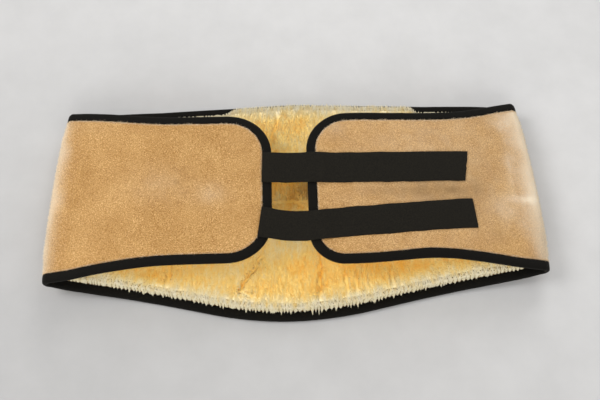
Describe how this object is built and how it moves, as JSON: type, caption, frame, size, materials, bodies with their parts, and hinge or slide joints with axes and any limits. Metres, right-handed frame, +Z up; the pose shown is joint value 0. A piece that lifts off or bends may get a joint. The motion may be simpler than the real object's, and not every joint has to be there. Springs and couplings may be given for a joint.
{
  "type": "back warmer belt",
  "caption": "Sheepskin-lined back warmer belt lying on its back panel with both rounded front flaps folded over, bound all round, with two webbing straps across the gap.",
  "frame": {"origin": "on the surface the belt lies on, under the middle of its bounding box", "axes": "+X from the left fold to the right fold, +Y from the belt's lower edge to its upper edge, +Z up through the back panel and the flaps lying over it"},
  "size_m": [0.4402, 0.2193, 0.0451],
  "materials": {
    "velour": "tan brushed velour with a short fuzzy nap",
    "wool": "golden clipped sheepskin pile with paler roots and edges",
    "tape": "black woven bias tape, matte",
    "webbing": "black woven webbing, matte"
  },
  "bodies": {
    "root": {"outer_cover": "velour", "wool_lining": "wool", "edge_binding": "tape", "strap_upper": "webbing", "strap_lower": "webbing"}
  },
  "joints": []
}
